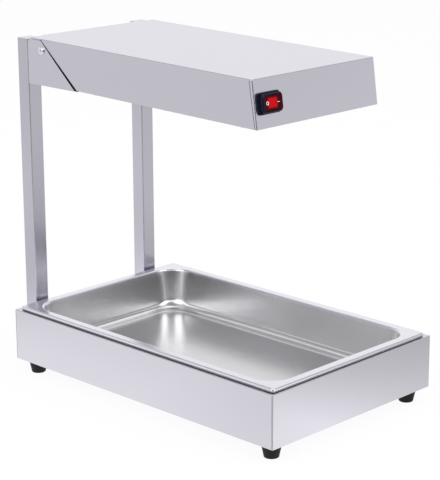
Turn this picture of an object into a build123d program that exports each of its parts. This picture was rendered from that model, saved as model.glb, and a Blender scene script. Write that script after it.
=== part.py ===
from build123d import *
from math import atan2, cos, sin
import os

# Countertop fry warmer: a low steel base that carries a full-size gastronorm pan,
# two square posts behind it, and a heated hood that tilts on two pivot screws.
# Millimetres, +Z up, front (switch end) towards -Y, origin on the table under the middle
# of the overall box.

# Base box
BASE_W = 345.0
BASE_L = 545.0
BASE_H = 80.0
BASE_SHEET = 1.2
BASE_CORNER_R = 1.6
BASE_TOP_R = 1.2
BASE_SEAM_IN = 2.0
BASE_SEAM_GAP = 0.6
BASE_SEAM_DEEP = 0.8
BASE_SEAM_TOP = 2.0
BOTTOM_FLANGE = 40.0
PAN_OPENING_W = 316.0
PAN_OPENING_L = 517.0
PAN_OPENING_R = 44.0
FLOOR_SHEET = 1.2
FIT_GAP = 0.3
CUT = 1.0  # how far a cut runs past the face that it opens

# Feet
FOOT_H = 22.5
FOOT_TOP_R = 15.4
FOOT_BOTTOM_R = 10.7
FOOT_INSET = 24.0
FOOT_RECESS_R = 6.0
FOOT_RECESS_H = 11.0
FOOT_EDGE_R = 1.5

# Posts, outside the rear wall of the base
POST = 25.0
POST_WALL = 1.5
POST_CORNER_R = 2.0
POST_OUTER_X = 129.0
POST_TOP = 498.0
POST_FOOT_GAP = 2.0
CAP_T = 1.5
PLUG_DEPTH = 8.0
NUT_STRIP_W = 16.0
NUT_STRIP_T = 4.0
NUT_STRIP_END = 9.0
LOW_SCREW_Z = (18.0, 62.0)

# Screws and nuts: shank radius, head radius and height, nut width across flats and height
M5_R = 2.5
M5_HEAD_R = 4.6
M5_HEAD_H = 3.0
M5_NUT_AF = 8.0
M5_NUT_H = 4.0
M4_R = 2.0
M4_HEAD_R = 3.8
M4_HEAD_H = 1.4
CLEAR = 0.25
RUNNING = 0.05
SCREW_PAST = 1.5

# Gastronorm 1/1 pan, standing a little towards the front left corner, its rim on an upstand of the base
PAN_RIM_W = 330.0
PAN_RIM_L = 532.0
PAN_RIM_R = 4.5
PAN_RIM_EDGE_R = 2.0
PAN_RIM_UP = 6.8
PAN_SKIRT_UP = 1.0
PAN_SHEET = 1.0
PAN_W = 304.0
PAN_L = 506.0
PAN_CORNER_R = 41.0
PAN_DEPTH = 65.0
PAN_TAPER = 7.0
PAN_FLOOR_R = 11.0
PAN_LIP_R = 2.5
PAN_PANEL_INSET = 23.6
PAN_PANEL_R = 34.0
PAN_PANEL_DOWN = 1.5
PAN_PANEL_SLOPE = 45.0
PAN_SHIFT = (-4.0, -3.7)
PAN_SEAT_GAP = 0.05

# Hood, in hood coordinates: the pivot axis is the X axis, +Z is square to the top sheet
PIVOT_AHEAD = 31.7
PIVOT_UP = 483.3
HOOD_DROOP = 1.1
HOOD_W = 254.0
HOOD_SHEET = 1.0
HOOD_BEND_R = 1.5
HOOD_TOP = 17.2
HOOD_BOTTOM = -50.4
HOOD_FRONT_TOP = -431.0
HOOD_FRONT_BOTTOM = -441.8
HOOD_SEAM_TOP = 5.3
HOOD_SEAM_BOTTOM = -77.7
HOOD_LIP = 12.0
TONGUE_SIDE_REAR = 26.0
TONGUE_MID_REAR = 29.2
TONGUE_DROP = -6.0
TONGUE_MID_W = 204.0
TONGUE_FLANGE_Z = 8.0
CORNER_SEAM_IN = (4.8, 2.9)
CORNER_SEAM_GAP = 1.1
CORNER_SEAM_TOP = 2.5
CORNER_SEAM_DEEP = 0.8

# Fixed hinge bracket between the posts and the hood
BRACKET_SHEET = 1.2
BRACKET_HALF_W = 128.6
BRACKET_TOP = 15.0
BRACKET_BOTTOM = -53.0
BRACKET_SEAM_TOP = 3.2
BRACKET_SEAM_BOTTOM = -73.4
BRACKET_WEB_TOP = -2.5
BRACKET_REAR_R = 5.0
BRACKET_FRONT_R = 1.5
BRACKET_SCREW_Z = (-14.0, -40.0)
LUG_T = 2.0
LUG_OUTER_X = 124.0
LUG_FLANGE = 22.0
LUG_REAR = 10.0
LUG_TAIL_GAP = 1.1
LUG_TAIL_Z = (-42.0, -28.0)
LUG_UNDERSIDE = ((-120.0, 4.0), (-100.0, -48.2), (-75.8, -48.2))
LUG_TAB = ((-75.8, -52.4), (-63.0, -52.4), (4.0, -20.0), (18.0, -42.0))
LUG_NOTCH = (14.0, 0.0)
PIVOT_HEAD_R = 5.8
PIVOT_HEAD_H = 2.6
PIVOT_NUT_GAP = 0.3
WASHER_R = 5.5
WASHER_T = 1.0

# Cable gland in the bracket web
GLAND_Z = -32.0
GLAND_BORE_R = 4.2
GLAND_THREAD_R = 8.0
GLAND_HEX_AF = 19.0
GLAND_HEX_H = 5.0
GLAND_DOME_R = 8.6
GLAND_DOME_H = 12.0
GLAND_DOME_EDGE_R = 3.0
GLAND_THREAD_L = 9.0
GLAND_NUT_AF = 20.0
GLAND_NUT_H = 4.0

# Reflector tray, heaters and guard, in hood coordinates
TRAY_SHEET = 0.8
TRAY_HALF_W = 123.4
TRAY_FRONT = -437.0
TRAY_REAR = 14.0
TRAY_LUG_GAP = 0.6
MOUTH_HALF_W = 100.0
CROWN_HALF_W = 72.0
CROWN_Z = -7.2
TROUGH_FRONT = -392.0
TROUGH_REAR = -98.0
HEATER_X = 38.0
HEATER_Z = -26.0
TUBE_R = 6.0
TUBE_WALL = 1.0
CAP_R = 8.0
CAP_COLLAR_R = 11.0
CAP_COLLAR_T = 3.0
CAP_IN = 9.0
CAP_OUT = 11.0
CAP_SOCKET = 7.0
PIN_R = 1.5
PIN_L = 9.0
FILAMENT_R = 1.4
GUARD_X = 94.5
GUARD_INSET = 5.0
GUARD_FRAME_R = 2.0
GUARD_WIRE_R = 1.4
GUARD_WIRES = 11
GUARD_CORNER_R = 12.0
GUARD_SINK = 0.4
GUARD_WELD = 0.5
GUARD_TAB_Y = (-335.0, -155.0)
TAB_T = 1.0
TAB_W = 14.0
TAB_LAP = 1.5
TAB_END = 6.0
TAB_SCREW_OUT = 6.0
TRAY_SCREW_Y = (-410.0, -262.0, -115.0)
SCREW_TAIL = 6.0

# Terminal block, earth stud and leads
BLOCK_SIZE = (64.0, 30.0, 20.0)
BLOCK_Y = -56.0
BLOCK_EDGE_R = 2.0
WELL_R = 2.6
WELL_DEPTH = 10.0
WELL_PITCH = (20.0, 15.0)
EARTH_AT = (76.0, -52.0)
STUD_H = 14.0
STUD_NUT_AF = 7.0
STUD_NUT_H = 3.2
LEAD_R = 2.4
LINK_R = 1.5
LEAD_Z = 5.0
LEAD_BEND_R = 7.0
LEAD_X = (-12.0, -89.3)
LEAD_SLANT_Y = (-150.0, -330.0)
LEAD_END = (-397.5, -12.5)
LINK_BEND_R = 6.0
LINK_X = 20.0
LINK_Y = -48.0
LINK_Z = -8.0
LINK_LOOP = 9.0
LEAD_GAP = 0.2

# Rocker switch on the hood's front, in switch coordinates: +Z out of the panel
SWITCH_X = -100.3
SWITCH_DOWN = 34.5
SWITCH_FLANGE = (42.0, 30.2, 3.0)
SWITCH_FLANGE_R = 3.0
SWITCH_FLANGE_EDGE_R = 1.0
SWITCH_COLLAR = (39.4, 26.4, 9.8)
SWITCH_COLLAR_R = 6.0
SWITCH_COLLAR_EDGE_R = 1.8
SWITCH_MOUTH = (34.6, 21.8)
SWITCH_MOUTH_R = 2.0
SWITCH_BODY = (29.0, 21.5, 24.0)
SWITCH_CUTOUT = (29.6, 22.1)
SWITCH_FLOOR = 1.6
ROCKER_END_GAP = 1.1
ROCKER_SIDE_GAP = 0.5
ROCKER_AXIS_Z = 6.4
ROCKER_PIN_R = 1.5
ROCKER_PIN_IN = 1.2
ROCKER_TILT = 7.0
ROCKER_TOP = 9.9
ROCKER_DIP = 1.8
ROCKER_BOTTOM = 5.3
ROCKER_LEAN = 1.5
ROCKER_CORNER_R = 1.6
SPADE = (6.3, 0.8, 8.0)
SPADE_X = (-8.0, 0.0, 8.0)
SPADE_IN = 4.0

# Places worked out from the driving sizes
BASE_Y = -POST / 2
REAR_Y = BASE_Y + BASE_L / 2
BASE_TOP_Z = FOOT_H + BASE_H
POST_X = POST_OUTER_X - POST / 2
PIVOT_Y = REAR_Y - PIVOT_AHEAD
PIVOT_Z = FOOT_H + PIVOT_UP
HOOD_AT = Pos(0, PIVOT_Y, PIVOT_Z) * Rot(HOOD_DROOP, 0, 0)
PIVOT_AT = Pos(0, PIVOT_Y, PIVOT_Z)
PANEL_LEAN = atan2(HOOD_FRONT_TOP - HOOD_FRONT_BOTTOM, HOOD_TOP - HOOD_BOTTOM)
TRAY_Z = HOOD_BOTTOM + HOOD_SHEET
SIDES = (-1, 1)


def span(x, y, z):
    """Box between pairs of limits."""
    middle = [(low + high) / 2 for low, high in (x, y, z)]
    return Pos(*middle) * Box(x[1] - x[0], y[1] - y[0], z[1] - z[0])


def rod_x(x, y, z, radius):
    """Cylinder along X between the two limits in x."""
    return Pos(sum(x) / 2, y, z) * Rot(0, 90, 0) * Cylinder(radius, x[1] - x[0])


def rod_y(x, y, z, radius):
    """Cylinder along Y between the two limits in y."""
    return Pos(x, sum(y) / 2, z) * Rot(90, 0, 0) * Cylinder(radius, y[1] - y[0])


def rod_z(x, y, z, radius):
    """Cylinder along Z between the two limits in z."""
    return Pos(x, y, sum(z) / 2) * Cylinder(radius, z[1] - z[0])


def side_plate(points, x):
    """Outline in the side view, extruded between two limits in X."""
    outline = make_face(Polyline(*points, close=True))
    return extrude(Plane.YZ.offset(x[0]) * outline, x[1] - x[0])


def hex_ring(across_flats, bore_r, height):
    """Hexagon nut standing on Z = 0."""
    return extrude(RegularPolygon(across_flats / 2, 6, major_radius=False) - Circle(bore_r), height)


def pan_head(shank_r, head_r, head_h, shank_l):
    """Screw with its head on +Z and its shank running down from Z = 0."""
    head = Cylinder(head_r, head_h, align=(Align.CENTER, Align.CENTER, Align.MIN))
    head = fillet(head.edges().group_by(Axis.Z)[-1], head_h * 0.6)
    socket = Pos(0, 0, head_h * 0.45) * extrude(RegularPolygon(shank_r * 0.6, 6), head_h)
    shank = Cylinder(shank_r, shank_l, align=(Align.CENTER, Align.CENTER, Align.MAX))
    return head - socket + shank


def group(pieces):
    """Separate solids kept together in one node."""
    return Compound(children=list(pieces))


def foot_places():
    """Centres of the four feet on the table."""
    half_x = BASE_W / 2 - FOOT_INSET
    half_y = BASE_L / 2 - FOOT_INSET
    return [(sx * half_x, BASE_Y + sy * half_y) for sx in SIDES for sy in SIDES]


def low_screw_places():
    """Where the posts are screwed to the rear wall: X and height."""
    return [(side * POST_X, FOOT_H + z) for side in SIDES for z in LOW_SCREW_Z]


def high_screw_places():
    """Where the hinge bracket is screwed to the posts: X and height."""
    return [(side * POST_X, PIVOT_Z + z) for side in SIDES for z in BRACKET_SCREW_Z]


def base_shell():
    """Folded box: a top flange with an upstand that carries the pan, a bottom flange for the feet."""
    middle = Pos(0, BASE_Y, FOOT_H)
    outer = extrude(RectangleRounded(BASE_W, BASE_L, BASE_CORNER_R), BASE_H)
    outer = fillet(outer.edges().group_by(Axis.Z)[-1], BASE_TOP_R)
    inner_w = BASE_W - 2 * BASE_SHEET
    inner_l = BASE_L - 2 * BASE_SHEET
    inner = RectangleRounded(inner_w, inner_l, BASE_CORNER_R - BASE_SHEET)
    inner = Pos(0, 0, BASE_SHEET) * extrude(inner, BASE_H - 2 * BASE_SHEET)
    opening = extrude(RectangleRounded(PAN_OPENING_W, PAN_OPENING_L, PAN_OPENING_R), BASE_H)
    bottom = RectangleRounded(BASE_W - 2 * BOTTOM_FLANGE, BASE_L - 2 * BOTTOM_FLANGE, BOTTOM_FLANGE / 2)
    shell = outer - inner - Pos(0, 0, BASE_H / 2) * opening - extrude(bottom, BASE_H / 2)
    collar_w = PAN_OPENING_W + 2 * BASE_SHEET
    collar_l = PAN_OPENING_L + 2 * BASE_SHEET
    collar = RectangleRounded(collar_w, collar_l, PAN_OPENING_R + BASE_SHEET)
    collar -= RectangleRounded(PAN_OPENING_W, PAN_OPENING_L, PAN_OPENING_R)
    seat = PAN_RIM_UP - PAN_SHEET - PAN_SEAT_GAP
    shell += Pos(0, 0, BASE_H - BASE_SHEET) * extrude(collar, BASE_SHEET + seat)
    shell = middle * shell
    for side in SIDES:
        seam_x = sorted((side * (BASE_W / 2 - BASE_SEAM_DEEP), side * (BASE_W / 2 + CUT)))
        for end in SIDES:
            seam_y = BASE_Y + end * (BASE_L / 2 - BASE_SEAM_IN)
            limits = (seam_y - BASE_SEAM_GAP / 2, seam_y + BASE_SEAM_GAP / 2)
            shell -= span(seam_x, limits, (FOOT_H - CUT, BASE_TOP_Z - BASE_SEAM_TOP))
    for x, y in foot_places():
        shell -= rod_z(x, y, (FOOT_H - CUT, FOOT_H + 2 * BASE_SHEET), M5_R + CLEAR)
    for x, z in low_screw_places():
        shell -= rod_y(x, (REAR_Y - 2 * BASE_SHEET, REAR_Y + CUT), z, M5_R + CLEAR)
    return shell


def base_floor():
    """Bottom plate lying on the bottom flange, held by the foot screws."""
    gap = 2 * (BASE_SHEET + FIT_GAP)
    plate = extrude(RectangleRounded(BASE_W - gap, BASE_L - gap, BASE_CORNER_R), FLOOR_SHEET)
    plate = Pos(0, BASE_Y, FOOT_H + BASE_SHEET) * plate
    for x, y in foot_places():
        plate -= rod_z(x, y, (FOOT_H, FOOT_H + 3 * BASE_SHEET), M5_R + CLEAR)
    return plate


def rubber_foot():
    """Tapered foot with a recess for its screw head."""
    foot = Cone(FOOT_BOTTOM_R, FOOT_TOP_R, FOOT_H, align=(Align.CENTER, Align.CENTER, Align.MIN))
    foot = fillet(foot.edges().group_by(Axis.Z)[0], FOOT_EDGE_R)
    foot -= rod_z(0, 0, (-CUT, FOOT_RECESS_H), FOOT_RECESS_R)
    return foot - rod_z(0, 0, (0, FOOT_H + CUT), M5_R + CLEAR)


def rubber_feet():
    return group(Pos(x, y, 0) * rubber_foot() for x, y in foot_places())


def foot_screws():
    """Screws up through each foot, the flange and the floor."""
    length = FOOT_H - FOOT_RECESS_H + BASE_SHEET + FLOOR_SHEET + M5_NUT_H + SCREW_PAST
    screw = Pos(0, 0, FOOT_RECESS_H) * Rot(180, 0, 0) * pan_head(M5_R, M5_HEAD_R, M5_HEAD_H, length)
    return group(Pos(x, y, 0) * screw for x, y in foot_places())


def foot_nuts():
    seat = FOOT_H + BASE_SHEET + FLOOR_SHEET
    nut = hex_ring(M5_NUT_AF, M5_R + RUNNING, M5_NUT_H)
    return group(Pos(x, y, seat) * nut for x, y in foot_places())


def post(side):
    """Square tube with screw holes in its front wall."""
    low = FOOT_H + POST_FOOT_GAP
    high = FOOT_H + POST_TOP - CAP_T
    section = RectangleRounded(POST, POST, POST_CORNER_R)
    inside = POST - 2 * POST_WALL
    section -= RectangleRounded(inside, inside, POST_CORNER_R - POST_WALL / 2)
    tube = Pos(side * POST_X, REAR_Y + POST / 2, low) * extrude(section, high - low)
    for x, z in low_screw_places() + high_screw_places():
        if x * side > 0:
            tube -= rod_y(x, (REAR_Y - CUT, REAR_Y + 2 * POST_WALL), z, M5_R + CLEAR)
    return tube


def post_caps():
    """Flat steel plates that close the tops of the posts."""
    plate = extrude(RectangleRounded(POST, POST, POST_CORNER_R), CAP_T)
    plate = fillet(plate.edges().group_by(Axis.Z)[-1], CAP_T * 0.4)
    seat = FOOT_H + POST_TOP - CAP_T
    return group(Pos(side * POST_X, REAR_Y + POST / 2, seat) * plate for side in SIDES)


def post_plugs():
    """Plastic plugs in the bottoms of the posts."""
    inside = POST - 2 * POST_WALL - 2 * RUNNING
    head = extrude(RectangleRounded(POST, POST, POST_CORNER_R), POST_FOOT_GAP)
    stem = extrude(RectangleRounded(inside, inside, POST_CORNER_R), PLUG_DEPTH)
    plug = head + stem
    return group(Pos(side * POST_X, REAR_Y + POST / 2, FOOT_H) * plug for side in SIDES)


def nut_strip(x, heights):
    """Threaded bar inside a post, behind its front wall."""
    y = (REAR_Y + POST_WALL, REAR_Y + POST_WALL + NUT_STRIP_T)
    z_limits = (min(heights) - NUT_STRIP_END, max(heights) + NUT_STRIP_END)
    bar = span((x - NUT_STRIP_W / 2, x + NUT_STRIP_W / 2), y, z_limits)
    for z in heights:
        bar -= rod_y(x, (y[0] - CUT, y[1] + CUT), z, M5_R + RUNNING)
    return bar


def post_nut_strips():
    low = [FOOT_H + z for z in LOW_SCREW_Z]
    high = [PIVOT_Z + z for z in BRACKET_SCREW_Z]
    return group(nut_strip(side * POST_X, heights) for side in SIDES for heights in (low, high))


def wall_screws(places, sheet):
    """Screws whose heads bear on a sheet in front of the posts."""
    length = sheet + POST_WALL + NUT_STRIP_T + SCREW_PAST
    screw = Rot(90, 0, 0) * pan_head(M5_R, M5_HEAD_R, M5_HEAD_H, length)
    return group(Pos(x, REAR_Y - sheet, z) * screw for x, z in places)


def hinge_bracket():
    """U-shaped plate: a web on the posts and two side plates with slanted front edges."""
    rear = PIVOT_AHEAD
    outline = [
        (rear, BRACKET_BOTTOM),
        (rear, BRACKET_TOP),
        (BRACKET_SEAM_TOP, BRACKET_TOP),
        (BRACKET_SEAM_BOTTOM, BRACKET_BOTTOM),
    ]
    inner_x = BRACKET_HALF_W - BRACKET_SHEET
    bracket = span((-inner_x, inner_x), (rear - BRACKET_SHEET, rear), (BRACKET_BOTTOM, BRACKET_WEB_TOP))
    for side in SIDES:
        plate = side_plate(outline, sorted((side * inner_x, side * BRACKET_HALF_W)))
        corners = plate.edges().filter_by(Axis.X)
        plate = fillet(corners.group_by(Axis.Y)[-1].sort_by(Axis.Z)[-1], BRACKET_REAR_R)
        plate = fillet(plate.edges().filter_by(Axis.X).sort_by(Axis.Y)[0:2], BRACKET_FRONT_R)
        bracket += plate - rod_x((-BRACKET_HALF_W - CUT, BRACKET_HALF_W + CUT), 0, 0, M5_R + RUNNING)
    through = (rear - BRACKET_SHEET - CUT, rear + CUT)
    for side in SIDES:
        for z in BRACKET_SCREW_Z:
            bracket -= rod_y(side * POST_X, through, z, M5_R + CLEAR)
    bracket -= rod_y(0, through, GLAND_Z, GLAND_THREAD_R + RUNNING)
    return PIVOT_AT * bracket


def pivot_parts():
    """Pivot screws, the spacers, washers and lock nuts that they carry."""
    spacer_in = LUG_OUTER_X + PIVOT_NUT_GAP
    plate_in = BRACKET_HALF_W - BRACKET_SHEET
    washer_out = LUG_OUTER_X - LUG_T - PIVOT_NUT_GAP
    nut_out = washer_out - WASHER_T
    nut_in = nut_out - M5_NUT_H
    length = BRACKET_HALF_W - nut_in + SCREW_PAST
    screw = Pos(BRACKET_HALF_W, 0, 0) * Rot(0, 90, 0) * pan_head(M5_R, PIVOT_HEAD_R, PIVOT_HEAD_H, length)
    bore = rod_x((nut_in - CUT, BRACKET_HALF_W), 0, 0, M5_R + RUNNING)
    spacer = rod_x((spacer_in, plate_in), 0, 0, WASHER_R) - bore
    washer = rod_x((nut_out, washer_out), 0, 0, WASHER_R) - bore
    nut = Pos(nut_in, 0, 0) * Rot(0, 90, 0) * hex_ring(M5_NUT_AF, M5_R + RUNNING, M5_NUT_H)
    pieces = {"pivot_screws": screw, "pivot_spacers": spacer, "pivot_washers": washer, "pivot_nuts": nut}
    both = {}
    for name, piece in pieces.items():
        both[name] = group([PIVOT_AT * piece, PIVOT_AT * mirror(piece, about=Plane.YZ)])
    return both


def cable_gland():
    """Hexagon gland body through the web, with a domed clamping cap at the rear."""
    rear = PIVOT_AHEAD
    gland = rod_y(0, (rear - BRACKET_SHEET - GLAND_THREAD_L, rear), GLAND_Z, GLAND_THREAD_R)
    hexagon = extrude(RegularPolygon(GLAND_HEX_AF / 2, 6, major_radius=False), GLAND_HEX_H)
    gland += Pos(0, rear, GLAND_Z) * Rot(-90, 0, 0) * hexagon
    cap = Cylinder(GLAND_DOME_R, GLAND_DOME_H, align=(Align.CENTER, Align.CENTER, Align.MIN))
    cap = fillet(cap.edges().group_by(Axis.Z)[-1], GLAND_DOME_EDGE_R)
    gland += Pos(0, rear + GLAND_HEX_H, GLAND_Z) * Rot(-90, 0, 0) * cap
    through = (rear - BRACKET_SHEET - GLAND_THREAD_L - CUT, rear + GLAND_HEX_H + GLAND_DOME_H + CUT)
    gland -= rod_y(0, through, GLAND_Z, GLAND_BORE_R)
    return PIVOT_AT * gland


def gland_nut():
    front = PIVOT_AHEAD - BRACKET_SHEET - GLAND_NUT_H
    nut = hex_ring(GLAND_NUT_AF, GLAND_THREAD_R + RUNNING, GLAND_NUT_H)
    return PIVOT_AT * Pos(0, front, GLAND_Z) * Rot(-90, 0, 0) * nut


def food_pan():
    """Deep-drawn pan: flat rim with a turned-down edge, tapered walls, stamped floor."""
    top = PAN_RIM_UP
    rim = extrude(RectangleRounded(PAN_RIM_W, PAN_RIM_L, PAN_RIM_R), PAN_RIM_UP - PAN_SKIRT_UP)
    rim = Pos(0, 0, PAN_SKIRT_UP) * rim
    rim = fillet(rim.edges().group_by(Axis.Z)[-1], PAN_RIM_EDGE_R)
    under = RectangleRounded(PAN_RIM_W - 2 * PAN_SHEET, PAN_RIM_L - 2 * PAN_SHEET, PAN_RIM_R - PAN_SHEET)
    rim -= extrude(under, PAN_RIM_UP - PAN_SHEET)
    body = RectangleRounded(PAN_W, PAN_L, PAN_CORNER_R)
    body = Pos(0, 0, top) * extrude(body, -PAN_DEPTH, taper=PAN_TAPER)
    body = fillet(body.edges().group_by(Axis.Z)[0], PAN_FLOOR_R + PAN_SHEET)
    mouth = RectangleRounded(PAN_W - 2 * PAN_SHEET, PAN_L - 2 * PAN_SHEET, PAN_CORNER_R - PAN_SHEET)
    hollow = Pos(0, 0, top) * extrude(mouth, PAN_SHEET - PAN_DEPTH, taper=PAN_TAPER)
    hollow = fillet(hollow.edges().group_by(Axis.Z)[0], PAN_FLOOR_R)
    pan = rim + body - hollow
    lip = [edge for edge in pan.edges() if abs(edge.center().Z - top) < 0.01 and edge_inside(edge)]
    pan = fillet(lip, PAN_LIP_R)
    narrowing = 2 * PAN_PANEL_INSET
    panel = RectangleRounded(PAN_W - narrowing, PAN_L - narrowing, PAN_PANEL_R)
    stamped = extrude(panel, -PAN_PANEL_DOWN, taper=PAN_PANEL_SLOPE)
    pan += Pos(0, 0, top - PAN_DEPTH) * stamped
    pan -= Pos(0, 0, top - PAN_DEPTH + PAN_SHEET) * stamped
    return Pos(PAN_SHIFT[0], BASE_Y + PAN_SHIFT[1], BASE_TOP_Z) * pan


def edge_inside(edge):
    """True for the edges of the pan's mouth, inside the rim's outer edge."""
    middle = edge.center()
    return abs(middle.X) < PAN_W / 2 and abs(middle.Y) < PAN_L / 2


def hood_shell():
    """One folded sheet: top, two sides and the leaning front, with inward lips below."""
    half = HOOD_W / 2
    outline = [
        (HOOD_SEAM_TOP, HOOD_TOP),
        (HOOD_FRONT_TOP, HOOD_TOP),
        (HOOD_FRONT_BOTTOM, HOOD_BOTTOM),
        (HOOD_SEAM_BOTTOM, HOOD_BOTTOM),
    ]
    shell = side_plate(outline, (-half, half))
    shell = fillet(fold_edges(shell), HOOD_BEND_R)
    inset = HOOD_SHEET / cos(PANEL_LEAN)
    slope = (HOOD_FRONT_TOP - HOOD_FRONT_BOTTOM) / (HOOD_TOP - HOOD_BOTTOM)
    inner_top = HOOD_TOP - HOOD_SHEET
    inner_bottom = HOOD_BOTTOM + HOOD_SHEET
    cavity = [
        (TONGUE_MID_REAR, inner_top),
        (HOOD_FRONT_TOP + inset - slope * HOOD_SHEET, inner_top),
        (HOOD_FRONT_BOTTOM + inset + slope * HOOD_SHEET, inner_bottom),
        (TONGUE_MID_REAR, inner_bottom),
    ]
    hollow = side_plate(cavity, (-half + HOOD_SHEET, half - HOOD_SHEET))
    shell -= fillet(fold_edges(hollow), HOOD_BEND_R - HOOD_SHEET)
    lip_x = half - HOOD_LIP
    lip_front = HOOD_FRONT_BOTTOM + HOOD_LIP
    lip_z = (HOOD_BOTTOM - CUT, inner_bottom + CUT)
    shell -= span((-lip_x, lip_x), (lip_front, TONGUE_MID_REAR), lip_z)
    side_tongue = BRACKET_HALF_W - BRACKET_SHEET - 2 * FIT_GAP
    sheet_z = (inner_top, HOOD_TOP)
    shell += span((-side_tongue, side_tongue), (HOOD_SEAM_TOP - CUT, TONGUE_SIDE_REAR), sheet_z)
    middle_x = TONGUE_MID_W / 2
    shell += span((-middle_x, middle_x), (HOOD_SEAM_TOP, TONGUE_MID_REAR), sheet_z)
    drop_y = (TONGUE_MID_REAR - HOOD_SHEET, TONGUE_MID_REAR)
    shell += span((-middle_x, middle_x), drop_y, (TONGUE_DROP, HOOD_TOP))
    seam_top = HOOD_FRONT_TOP + CORNER_SEAM_IN[0]
    seam_bottom = HOOD_FRONT_BOTTOM + CORNER_SEAM_IN[1]
    seam = [
        (seam_top, HOOD_TOP - CORNER_SEAM_TOP),
        (seam_top + CORNER_SEAM_GAP, HOOD_TOP - CORNER_SEAM_TOP),
        (seam_bottom + CORNER_SEAM_GAP, HOOD_BOTTOM - CUT),
        (seam_bottom, HOOD_BOTTOM - CUT),
    ]
    for side in SIDES:
        flange_x = sorted((side * (side_tongue - HOOD_SHEET), side * side_tongue))
        shell += span(flange_x, (HOOD_SEAM_TOP, TONGUE_SIDE_REAR), (TONGUE_FLANGE_Z, HOOD_TOP))
        shell -= side_plate(seam, sorted((side * (half - CORNER_SEAM_DEEP), side * (half + CUT))))
        for y in TRAY_SCREW_Y:
            shell -= rod_z(side * tray_screw_x(), y, lip_z, M4_R + RUNNING)
    cutout = Box(SWITCH_CUTOUT[0], SWITCH_CUTOUT[1], 4 * HOOD_SHEET)
    return HOOD_AT * (shell - switch_place() * cutout)


def fold_edges(prism):
    """The folds of the hood's sheet: both long top edges and the front's edges but the lowest."""
    sides = prism.edges().group_by(Axis.Z)[-1].filter_by(Axis.Y)
    front = prism.faces().sort_by(Axis.Y)[0]
    return sides + front.edges().sort_by(Axis.Z)[1:]


def tray_screw_x():
    return HOOD_W / 2 - HOOD_LIP / 2 - HOOD_SHEET / 2


def switch_place():
    """Frame on the outer face of the front panel, Z out of it and Y up along it."""
    y = HOOD_FRONT_TOP - SWITCH_DOWN * sin(PANEL_LEAN)
    z = HOOD_TOP - SWITCH_DOWN * cos(PANEL_LEAN)
    outward = (0, -cos(PANEL_LEAN), sin(PANEL_LEAN))
    return Plane(origin=(SWITCH_X, y, z), x_dir=(1, 0, 0), z_dir=outward).location


def hinge_lugs():
    """Two angle plates welded under the hood's top sheet, each with a tail that stops on the web."""
    top = HOOD_TOP - HOOD_SHEET
    tail = PIVOT_AHEAD - BRACKET_SHEET - LUG_TAIL_GAP
    front = LUG_UNDERSIDE[0][0]
    stop = [(tail, z) for z in LUG_TAIL_Z]
    outline = [(front, top), *LUG_UNDERSIDE, *LUG_TAB, *stop, LUG_NOTCH, (LUG_REAR, top)]
    inner = LUG_OUTER_X - LUG_T
    leg = side_plate(outline, (inner, LUG_OUTER_X))
    leg += span((LUG_OUTER_X - LUG_FLANGE, LUG_OUTER_X), (front, LUG_REAR), (top - LUG_T, top))
    leg -= rod_x((inner - CUT, LUG_OUTER_X + CUT), 0, 0, M5_R + RUNNING)
    return group([HOOD_AT * leg, HOOD_AT * mirror(leg, about=Plane.YZ)])


def trough(sheet):
    """Prism of the reflector's trough, drawn in by a sheet's thickness."""
    outline = [
        (-MOUTH_HALF_W + sheet, TRAY_Z),
        (MOUTH_HALF_W - sheet, TRAY_Z),
        (CROWN_HALF_W - sheet, CROWN_Z - sheet),
        (-CROWN_HALF_W + sheet, CROWN_Z - sheet),
    ]
    face = make_face(Polyline(*outline, close=True))
    front = TROUGH_FRONT + sheet
    length = TROUGH_REAR - TROUGH_FRONT - 2 * sheet
    return extrude(Plane.XZ.offset(-front) * face, -length)


def heater_places():
    """End walls of the trough: X, Y of the wall's outer face, direction out of the trough."""
    ends = ((TROUGH_FRONT, -1), (TROUGH_REAR, 1))
    return [(side * HEATER_X, y, out) for side in SIDES for y, out in ends]


def reflector_tray():
    """Polished tray: a flat rim on the hood's lips with a trough pressed up over the heaters."""
    tray = span((-TRAY_HALF_W, TRAY_HALF_W), (TRAY_FRONT, TRAY_REAR), (TRAY_Z, TRAY_Z + TRAY_SHEET))
    tray = tray + trough(0) - trough(TRAY_SHEET)
    for x, y, out in heater_places():
        tray -= rod_y(x, (y - CAP_COLLAR_T, y + CAP_COLLAR_T), HEATER_Z, CAP_R + RUNNING)
    through = (TRAY_Z - CUT, TRAY_Z + TRAY_SHEET + CUT)
    beside_lug = LUG_OUTER_X - LUG_T - TRAY_LUG_GAP
    for side in SIDES:
        edge = sorted((side * beside_lug, side * (TRAY_HALF_W + CUT)))
        tray -= span(edge, (LUG_TAB[0][0] - TRAY_LUG_GAP, TRAY_REAR + CUT), through)
        for y in TRAY_SCREW_Y:
            tray -= rod_z(side * tray_screw_x(), y, through, M4_R + RUNNING)
        for y in GUARD_TAB_Y:
            tray -= rod_z(side * tab_screw_x(), y, through, M4_R + RUNNING)
    return HOOD_AT * tray


def tab_screw_x():
    return MOUTH_HALF_W + TAB_SCREW_OUT


def lip_screws(places):
    """Short screws from below, heads under a one-millimetre sheet."""
    screw = Rot(180, 0, 0) * pan_head(M4_R, M4_HEAD_R, M4_HEAD_H, SCREW_TAIL)
    screw = Pos(0, 0, HOOD_BOTTOM) * screw
    return group(HOOD_AT * Pos(x, y, 0) * screw for x, y in places)


def tray_screws():
    return lip_screws((side * tray_screw_x(), y) for side in SIDES for y in TRAY_SCREW_Y)


def guard_screws():
    return lip_screws((side * tab_screw_x(), y) for side in SIDES for y in GUARD_TAB_Y)


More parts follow.
